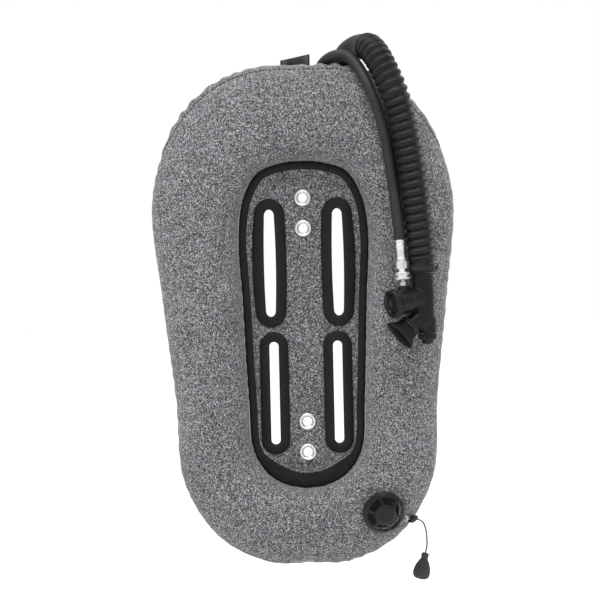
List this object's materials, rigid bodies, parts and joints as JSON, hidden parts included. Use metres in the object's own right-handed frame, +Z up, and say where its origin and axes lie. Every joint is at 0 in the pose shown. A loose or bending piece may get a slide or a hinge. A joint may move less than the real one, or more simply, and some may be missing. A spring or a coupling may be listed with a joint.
{
  "type": "buoyancy compensator wing",
  "caption": "Ring-shaped inflatable scuba wing with a flat slotted centre panel, corrugated inflator hose, power inflator and pull dump valve",
  "frame": {"origin": "middle of the four bolt grommets, on the mid-plane of the centre panel", "axes": "+Z up as worn, +X to the right seen from the tank side, -Y towards the tank"},
  "size_m": [0.3766, 0.1684, 0.6855],
  "materials": {
    "grey_fabric": "heather grey woven nylon, matte",
    "panel_fabric": "heather grey woven nylon, matte",
    "black_binding": "black woven binding with a slight sheen",
    "olive_webbing": "dark olive-grey woven webbing",
    "bladder_film": "thin urethane film, satin",
    "stiffener_board": "plain polyethylene sheet",
    "guard_rubber": "smooth moulded, matte",
    "hose_rubber": "smooth corrugated, satin",
    "cuff_rubber": "smooth moulded, satin",
    "lp_rubber": "charcoal, finely textured",
    "seal_rubber": "soft moulded, matte",
    "black_plastic": "moulded, satin",
    "knurled_plastic": "moulded, satin, ribbed rims",
    "button_plastic": "moulded, polished",
    "tie_plastic": "moulded nylon strap",
    "knob_plastic": "moulded, satin",
    "bush_plastic": "light grey moulded",
    "cord_braid": "braided polyester cord",
    "nickel": "bright nickel plating",
    "spring_steel": "drawn stainless wire"
  },
  "bodies": {
    "wing": {"shell_front": "grey_fabric", "shell_back": "grey_fabric", "inner_bladder": "bladder_film", "panel_stiffener": "stiffener_board", "centre_panel_front": "panel_fabric", "centre_panel_back": "panel_fabric", "ring_band_front": "black_binding", "ring_band_back": "black_binding", "slot_guard_front_upper_left": "guard_rubber", "slot_guard_front_upper_right": "guard_rubber", "slot_guard_front_lower_left": "guard_rubber", "slot_guard_front_lower_right": "guard_rubber", "slot_guard_back_upper_left": "guard_rubber", "slot_guard_back_upper_right": "guard_rubber", "slot_guard_back_lower_left": "guard_rubber", "slot_guard_back_lower_right": "guard_rubber", "grommet_patch": "panel_fabric", "grommet_top": "nickel", "grommet_upper": "nickel", "grommet_bottom": "nickel", "grommet_lower": "nickel", "grommet_washer_top": "nickel", "grommet_washer_upper": "nickel", "grommet_washer_bottom": "nickel", "grommet_washer_lower": "nickel", "carry_loop": "olive_webbing", "elbow_base": "black_plastic", "elbow_gasket": "seal_rubber", "elbow_retaining_ring": "knurled_plastic", "elbow": "black_plastic", "hose_cuff_upper": "cuff_rubber", "cable_tie_upper": "tie_plastic", "corrugated_hose": "hose_rubber", "hose_cuff_lower": "cuff_rubber", "cable_tie_lower": "tie_plastic", "inflator_body": "black_plastic", "inflate_button_ring": "knurled_plastic", "inflate_spring": "spring_steel", "deflate_button_bezel": "knurled_plastic", "deflate_spring": "spring_steel", "mouthpiece": "guard_rubber", "hose_ferrule": "nickel", "hose_nut": "nickel", "qd_nipple": "nickel", "lp_hose": "lp_rubber", "first_stage_ferrule": "nickel", "first_stage_fitting": "nickel", "first_stage_o_ring": "seal_rubber", "dump_valve_base": "black_plastic", "dump_valve_gasket": "seal_rubber", "dump_valve_cap": "knurled_plastic", "dump_valve_spring": "spring_steel", "cord_outlet_bush": "bush_plastic", "pull_cord": "cord_braid", "cord_guide_tab": "black_binding"},
    "inflate_button": {"inflate_button": "button_plastic"},
    "deflate_button": {"deflate_button": "button_plastic"},
    "quick_disconnect_collar": {"qd_collar": "nickel"},
    "dump_valve_disc": {"dump_valve_disc": "seal_rubber"},
    "pull_knob": {"pull_knob": "knob_plastic"}
  },
  "joints": [
    {"name": "inflate_button_press", "type": "slide", "parent": "wing", "child": "inflate_button", "axis": [0.8508, 0.5005, 0.1602], "range_m": [0, 0.003], "stiffness_N_per_m": 1200, "springref_m": -0.002, "deforming": ["inflate_spring"]},
    {"name": "deflate_button_press", "type": "slide", "parent": "wing", "child": "deflate_button", "axis": [0, 0, 1], "range_m": [0, 0.004], "stiffness_N_per_m": 900, "springref_m": -0.002, "deforming": ["deflate_spring"]},
    {"name": "collar_pull_back", "type": "slide", "parent": "wing", "child": "quick_disconnect_collar", "axis": [-0.055, 0, 0.9985], "range_m": [0, 0.003], "stiffness_N_per_m": 1500, "springref_m": -0.002},
    {"name": "dump_cord_pull", "type": "slide", "parent": "wing", "child": "pull_knob", "axis": [-0.22, 0.03, -0.975], "range_m": [0, 0.004], "stiffness_N_per_m": 600, "springref_m": -0.002},
    {"name": "dump_disc_lift", "type": "slide", "parent": "wing", "child": "dump_valve_disc", "axis": [0.1999, -0.9447, -0.2599], "range_m": [0, 0.004], "deforming": ["dump_valve_spring"]}
  ],
  "couplings": [
    {"joint": "dump_disc_lift", "follows": "dump_cord_pull", "ratio": 1}
  ]
}
